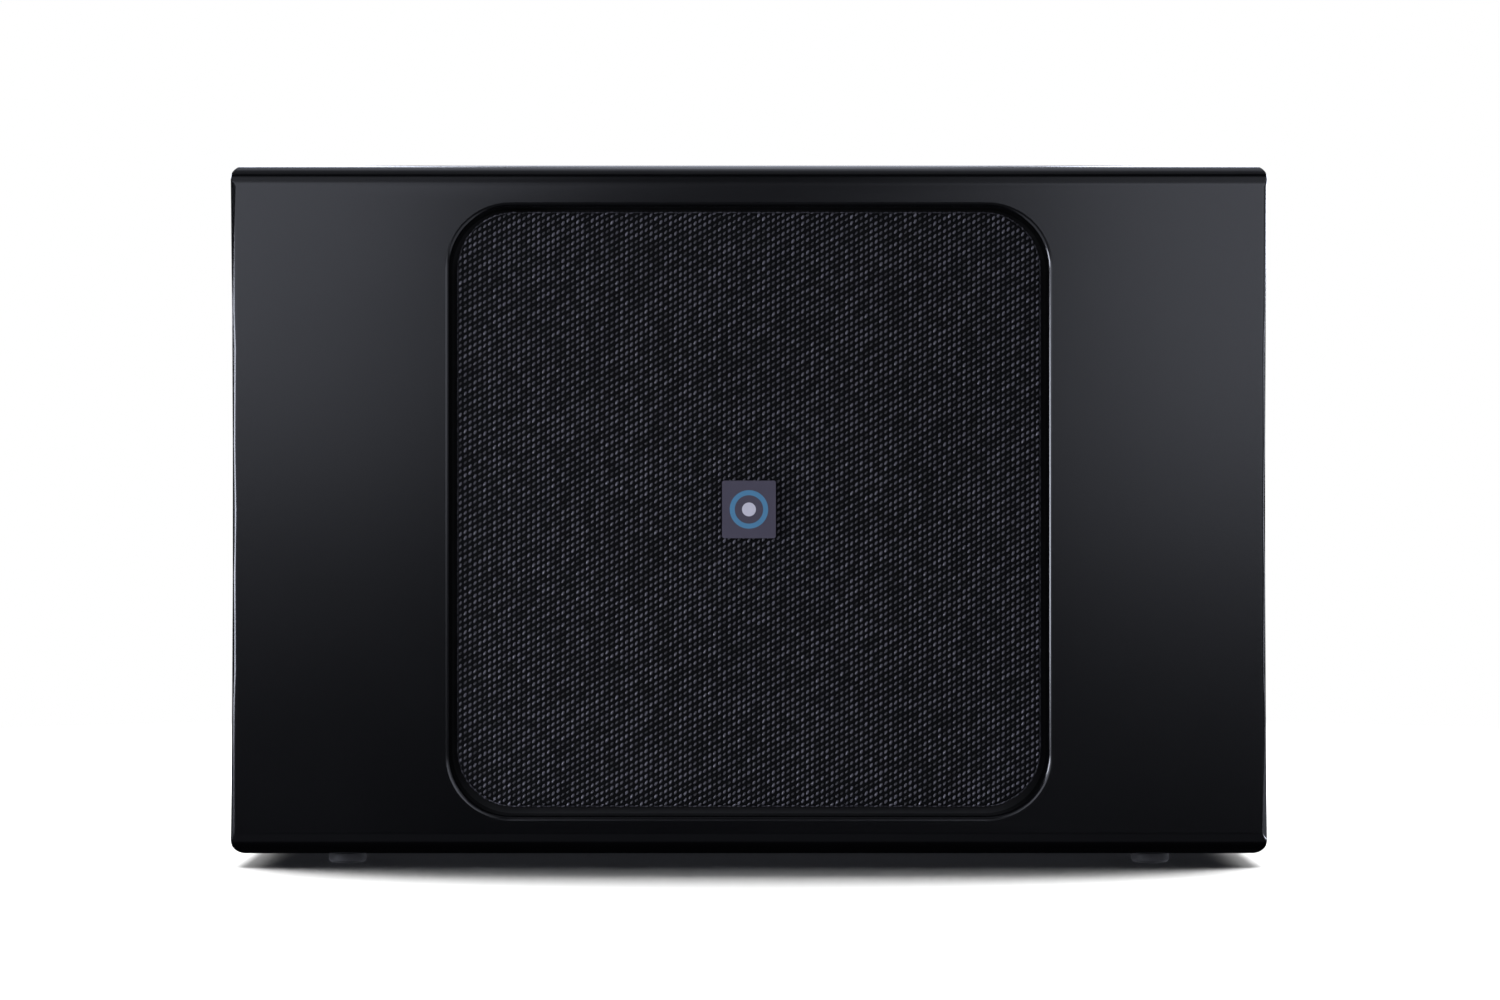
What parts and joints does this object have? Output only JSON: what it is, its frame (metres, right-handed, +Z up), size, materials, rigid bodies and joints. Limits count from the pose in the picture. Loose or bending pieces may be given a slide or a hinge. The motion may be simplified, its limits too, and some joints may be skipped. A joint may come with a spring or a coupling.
{
  "type": "powered subwoofer",
  "caption": "Slim rectangular subwoofer with a recessed square cloth grille, a sprung driver, a rear amplifier plate with controls, and a reflex port.",
  "frame": {"origin": "centre of the footprint, on the floor under the middle of the cabinet", "axes": "+X to the right seen from the front, +Y from the front to the back, +Z up"},
  "size_m": [0.54, 0.155, 0.366],
  "materials": {
    "painted_board": "satin",
    "raw_board": "matte",
    "rubber_black": "matte",
    "foam_seal": "matte",
    "black_plastic": "matte",
    "gloss_black_plastic": "gloss",
    "grille_fabric": "matte",
    "badge_metal": "satin",
    "badge_blue": "gloss",
    "badge_pale": "gloss",
    "painted_casting": "satin",
    "motor_steel": "satin",
    "ferrite": "matte",
    "cone_material": "matte",
    "foil": "satin",
    "copper": "satin",
    "treated_cloth": "matte",
    "dark_screw": "satin",
    "dark_aluminium": "satin",
    "brass_metal": "polished",
    "circuit_board": "satin",
    "laminated_steel": "satin",
    "capacitor_sleeve": "gloss",
    "plated_metal": "polished",
    "red_insert": "satin",
    "led_lens": "gloss",
    "lead_sleeve": "satin",
    "wadding": "matte"
  },
  "bodies": {
    "enclosure": {"cabinet": "painted_board", "baffle_board": "painted_board", "grille_sockets": "rubber_black", "brace_left": "raw_board", "brace_right": "raw_board", "rear_mounting_frame": "raw_board", "rear_seal": "foam_seal", "rear_panel": "painted_board", "wall_inserts": "brass_metal", "rear_panel_screws": "dark_screw", "foot_front_left": "rubber_black", "foot_front_right": "rubber_black", "foot_rear_left": "rubber_black", "foot_rear_right": "rubber_black", "foot_screws": "dark_screw", "driver_basket": "painted_casting", "driver_gasket": "foam_seal", "driver_screws": "dark_screw", "top_plate": "motor_steel", "ring_magnet": "ferrite", "pole_yoke": "motor_steel", "surround": "rubber_black", "spider": "treated_cloth", "driver_terminals": "black_plastic", "tinsel_leads": "copper", "amp_plate": "dark_aluminium", "amp_plate_screws": "dark_screw", "heatsink": "dark_aluminium", "potentiometers": "black_plastic", "switch_bodies": "black_plastic", "status_led": "led_lens", "control_board": "circuit_board", "main_board": "circuit_board", "board_standoffs": "brass_metal", "transformer": "laminated_steel", "filter_capacitors": "capacitor_sleeve", "line_input_shells": "plated_metal", "line_input_inserts": "red_insert", "network_socket": "black_plastic", "power_inlet": "black_plastic", "power_inlet_blades": "brass_metal", "power_switch_frame": "black_plastic", "port_tube": "black_plastic", "port_screws": "dark_screw", "speaker_leads": "lead_sleeve", "wadding_pads": "wadding"},
    "grille": {"grille_frame": "black_plastic", "grille_cloth": "grille_fabric", "badge_plate": "badge_metal", "badge_ring": "badge_blue", "badge_dot": "badge_pale"},
    "cone_assembly": {"cone": "cone_material", "dust_cap": "cone_material", "coil_former": "foil", "voice_coil": "copper"},
    "level_control": {"level_knob": "black_plastic"},
    "crossover_control": {"crossover_knob": "black_plastic"},
    "phase_control": {"phase_lever": "black_plastic"},
    "pair_control": {"pair_button": "black_plastic"},
    "power_control": {"power_rocker": "gloss_black_plastic"}
  },
  "joints": [
    {"name": "grille_pull", "type": "slide", "parent": "enclosure", "child": "grille", "axis": [0, -1, 0], "range_m": [0, 0.035]},
    {"name": "cone_travel", "type": "slide", "parent": "enclosure", "child": "cone_assembly", "axis": [0, -1, 0], "range_m": [-0.008, 0.008], "stiffness_N_per_m": 2500, "deforming": ["surround", "spider", "tinsel_leads"]},
    {"name": "level_turn", "type": "hinge", "parent": "enclosure", "child": "level_control", "pos_m": [-0.212, 0.068, 0.276], "axis": [0, 1, 0], "range_deg": [-150, 150]},
    {"name": "crossover_turn", "type": "hinge", "parent": "enclosure", "child": "crossover_control", "pos_m": [-0.156, 0.068, 0.276], "axis": [0, 1, 0], "range_deg": [-150, 150]},
    {"name": "phase_slide", "type": "slide", "parent": "enclosure", "child": "phase_control", "axis": [1, 0, 0], "range_m": [0, 0.004]},
    {"name": "pair_press", "type": "slide", "parent": "enclosure", "child": "pair_control", "axis": [0, -1, 0], "range_m": [0, 0.0012], "stiffness_N_per_m": 400},
    {"name": "power_rock", "type": "hinge", "parent": "enclosure", "child": "power_control", "pos_m": [-0.154, 0.066, 0.102], "axis": [1, 0, 0], "range_deg": [0, 16]}
  ]
}
